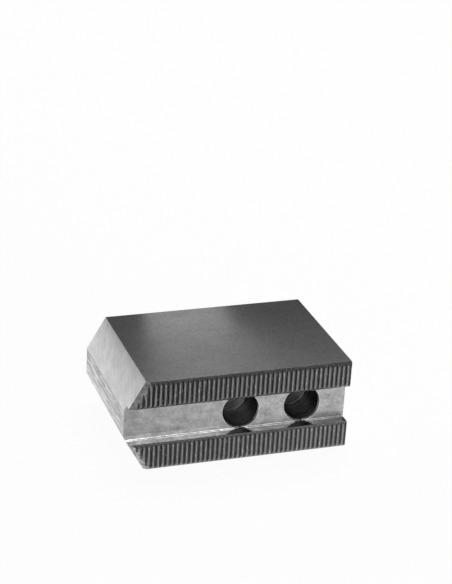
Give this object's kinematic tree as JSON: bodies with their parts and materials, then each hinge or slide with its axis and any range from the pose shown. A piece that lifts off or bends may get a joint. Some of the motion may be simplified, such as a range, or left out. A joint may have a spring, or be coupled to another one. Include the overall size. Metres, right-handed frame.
{
  "type": "chuck top jaw",
  "caption": "Pointed steel top jaw for a power chuck, with a finely serrated base, a tongue groove and counterbored screw holes, ready to be bored to a workpiece.",
  "frame": {"origin": "middle of the side face that the jaw lies on", "axes": "+X from the nose to the square tail, +Y from the serrated base to the clamping face, +Z across the jaw's width"},
  "size_m": [0.0716, 0.048, 0.0295],
  "materials": {
    "machined_steel": "ground side faces, milled nose and groove, rough sawn nose strip, unhardened"
  },
  "bodies": {
    "root": {"top_jaw": "machined_steel"}
  },
  "joints": []
}
